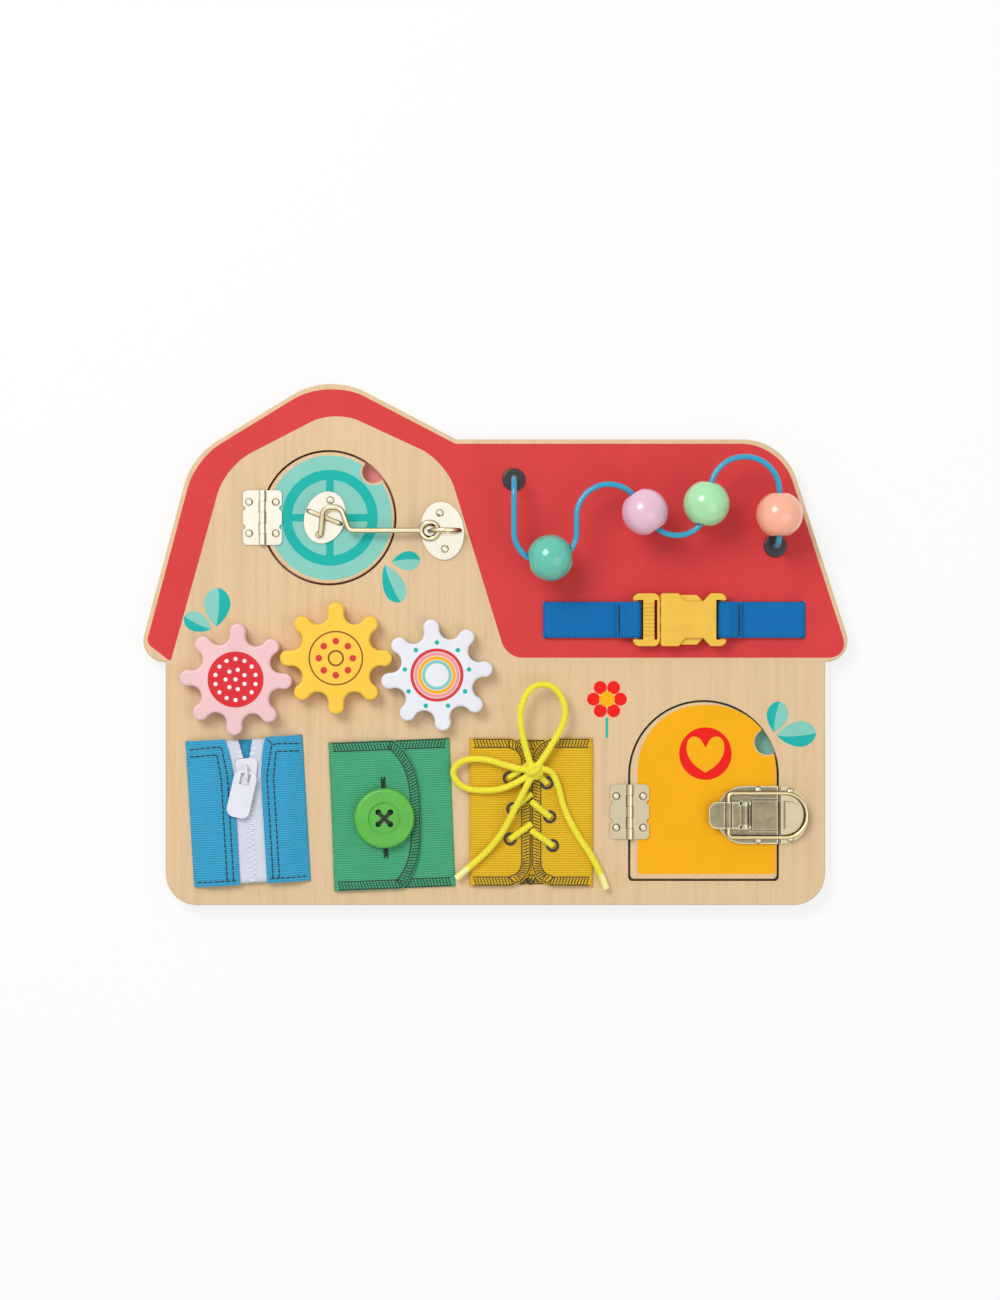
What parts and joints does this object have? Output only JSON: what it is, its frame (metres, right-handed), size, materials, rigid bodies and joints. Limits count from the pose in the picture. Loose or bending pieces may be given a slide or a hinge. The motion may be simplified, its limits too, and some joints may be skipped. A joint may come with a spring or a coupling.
{
  "type": "activity board",
  "caption": "Barn-shaped wooden activity board for toddlers with a hinged window and door, hook, latch, gears, bead wire, buckle, zip, button and lace panels.",
  "frame": {"origin": "centre of the bounding box in X and Y, on the back face of the board", "axes": "+X to the right of the board, +Y towards the roof, +Z out of the front face; the board lies on its back"},
  "size_m": [0.4, 0.296, 0.049],
  "materials": {
    "plywood": "satin lacquer, red printed roof",
    "backer": "raw satin",
    "sun_paint": "satin paint",
    "pink_paint": "satin paint",
    "white_paint": "satin paint",
    "window_print": "printed, satin lacquer",
    "door_print": "printed, satin lacquer",
    "brass_plate": "bright plated",
    "steel_pin": "plain",
    "blue_wire": "gloss coated",
    "black_plastic": "satin",
    "bead_teal": "gloss lacquer",
    "bead_pink": "gloss lacquer",
    "bead_green": "gloss lacquer",
    "bead_peach": "gloss lacquer",
    "blue_cloth": "fine corduroy",
    "green_cloth": "fine corduroy",
    "yellow_cloth": "fine corduroy",
    "zip_tape": "woven tape",
    "zip_plastic": "gloss",
    "button_plastic": "gloss",
    "black_thread": "sewing thread",
    "yellow_lace": "round braid",
    "blue_webbing": "woven webbing",
    "yellow_plastic": "moulded"
  },
  "bodies": {
    "board": {"front_board": "plywood", "back_board": "backer", "back_screws": "brass_plate", "hinge_fixed_leaves": "brass_plate", "hinge_pins": "steel_pin", "board_screws": "brass_plate", "hook_eye_plate": "brass_plate", "hook_eye_staple": "brass_plate", "latch_strike": "brass_plate", "bead_wire": "blue_wire", "wire_grommets": "black_plastic", "gear_washers": "steel_pin", "zip_backing": "blue_cloth", "zip_cloth_left": "blue_cloth", "zip_cloth_right": "blue_cloth", "zip_tapes": "zip_tape", "zip_teeth": "zip_plastic", "button_base": "green_cloth", "button": "button_plastic", "button_thread": "black_thread", "lace_backing": "yellow_cloth", "lace_flap_left": "yellow_cloth", "lace_flap_right": "yellow_cloth", "lace_eyelets": "black_plastic", "lace_crossings": "yellow_lace", "lace_knot": "yellow_lace", "lace_loops": "yellow_lace", "lace_tails": "yellow_lace", "strap_left": "blue_webbing", "strap_right": "blue_webbing", "buckle_female": "yellow_plastic"},
    "window": {"window_disc": "window_print", "window_hinge_leaf": "brass_plate", "hook_catch_plate": "brass_plate", "hook_catch_staple": "brass_plate", "window_screws": "brass_plate"},
    "hook": {"hook": "brass_plate"},
    "door": {"door_panel": "door_print", "door_hinge_leaf": "brass_plate", "latch_base": "brass_plate", "latch_pin": "brass_plate", "door_screws": "brass_plate"},
    "latch_lever": {"latch_lever": "brass_plate"},
    "latch_bail": {"latch_bail": "brass_plate"},
    "sun_gear": {"gear_sun": "sun_paint", "spindle_sun": "steel_pin"},
    "pink_gear": {"gear_pink": "pink_paint", "spindle_pink": "steel_pin"},
    "white_gear": {"gear_white": "white_paint", "spindle_white": "steel_pin"},
    "teal_bead": {"bead_teal": "bead_teal"},
    "pink_bead": {"bead_pink": "bead_pink"},
    "green_bead": {"bead_green": "bead_green"},
    "peach_bead": {"bead_peach": "bead_peach"},
    "zip_slider": {"zip_slider": "zip_plastic"},
    "zip_pull": {"zip_pull": "zip_plastic"},
    "buckle_male": {"buckle_male": "yellow_plastic"},
    "button_flap": {"button_flap": "green_cloth"}
  },
  "joints": [
    {"name": "window_swing", "type": "hinge", "parent": "board", "child": "window", "pos_m": [-0.1322, 0.072, 0.014], "axis": [0, -1, 0], "range_deg": [0, 85]},
    {"name": "hook_swing", "type": "hinge", "parent": "board", "child": "hook", "pos_m": [-0.0287, 0.0645, 0.019], "axis": [0, 1, 0], "range_deg": [0, 145]},
    {"name": "door_swing", "type": "hinge", "parent": "board", "child": "door", "pos_m": [0.0762, -0.0949, 0.014], "axis": [0, -1, 0], "range_deg": [0, 110]},
    {"name": "latch_lever_lift", "type": "hinge", "parent": "door", "child": "latch_lever", "pos_m": [0.1412, -0.0967, 0.0164], "axis": [0, 1, 0], "range_deg": [0, 120]},
    {"name": "latch_bail_swing", "type": "hinge", "parent": "latch_lever", "child": "latch_bail", "pos_m": [0.1319, -0.0967, 0.0164], "axis": [0, -1, 0], "range_deg": [0, 150]},
    {"name": "sun_gear_spin", "type": "hinge", "parent": "board", "child": "sun_gear", "pos_m": [-0.09, -0.0077, 0.012], "axis": [0, 0, 1], "continuous": true},
    {"name": "pink_gear_spin", "type": "hinge", "parent": "board", "child": "pink_gear", "pos_m": [-0.14654, -0.01972, 0.012], "axis": [0, 0, 1], "continuous": true},
    {"name": "white_gear_spin", "type": "hinge", "parent": "board", "child": "white_gear", "pos_m": [-0.033, -0.01724, 0.012], "axis": [0, 0, 1], "continuous": true},
    {"name": "teal_bead_travel", "type": "hinge", "parent": "board", "child": "teal_bead", "pos_m": [0.02797, 0.06298, 0.036], "axis": [0, 0, 1], "range_deg": [-45, 25]},
    {"name": "pink_bead_travel", "type": "slide", "parent": "board", "child": "pink_bead", "axis": [0.5535, -0.8329, 0], "range_m": [-0.006, 0.004]},
    {"name": "green_bead_travel", "type": "slide", "parent": "board", "child": "green_bead", "axis": [0.1584, 0.9874, 0], "range_m": [-0.0015, 0.0065]},
    {"name": "peach_bead_travel", "type": "slide", "parent": "board", "child": "peach_bead", "axis": [0, 1, 0], "range_m": [-0.0015, 0.01]},
    {"name": "zip_slide", "type": "slide", "parent": "board", "child": "zip_slider", "axis": [0.0593, -0.9982, 0], "range_m": [-0.009, 0.052], "deforming": ["zip_tapes", "zip_teeth"]},
    {"name": "zip_pull_lift", "type": "hinge", "parent": "zip_slider", "child": "zip_pull", "pos_m": [-0.14062, -0.07218, 0.01885], "axis": [-0.9759, 0.2181, 0], "range_deg": [0, 170]},
    {"name": "buckle_release", "type": "slide", "parent": "board", "child": "buckle_male", "axis": [-1, 0, 0], "range_m": [0, 0.028], "deforming": ["buckle_male", "strap_left"]},
    {"name": "button_flap_open", "type": "hinge", "parent": "board", "child": "button_flap", "pos_m": [-0.09167, -0.09772, 0.0143], "axis": [0.0401, -0.9992, 0], "range_deg": [0, 150], "deforming": ["button_flap"]}
  ],
  "couplings": [
    {"joint": "hook_swing", "follows": "window_swing", "ratio": 1.7},
    {"joint": "latch_bail_swing", "follows": "latch_lever_lift", "ratio": 1.2},
    {"joint": "pink_gear_spin", "follows": "sun_gear_spin", "ratio": -1},
    {"joint": "white_gear_spin", "follows": "sun_gear_spin", "ratio": -1}
  ]
}
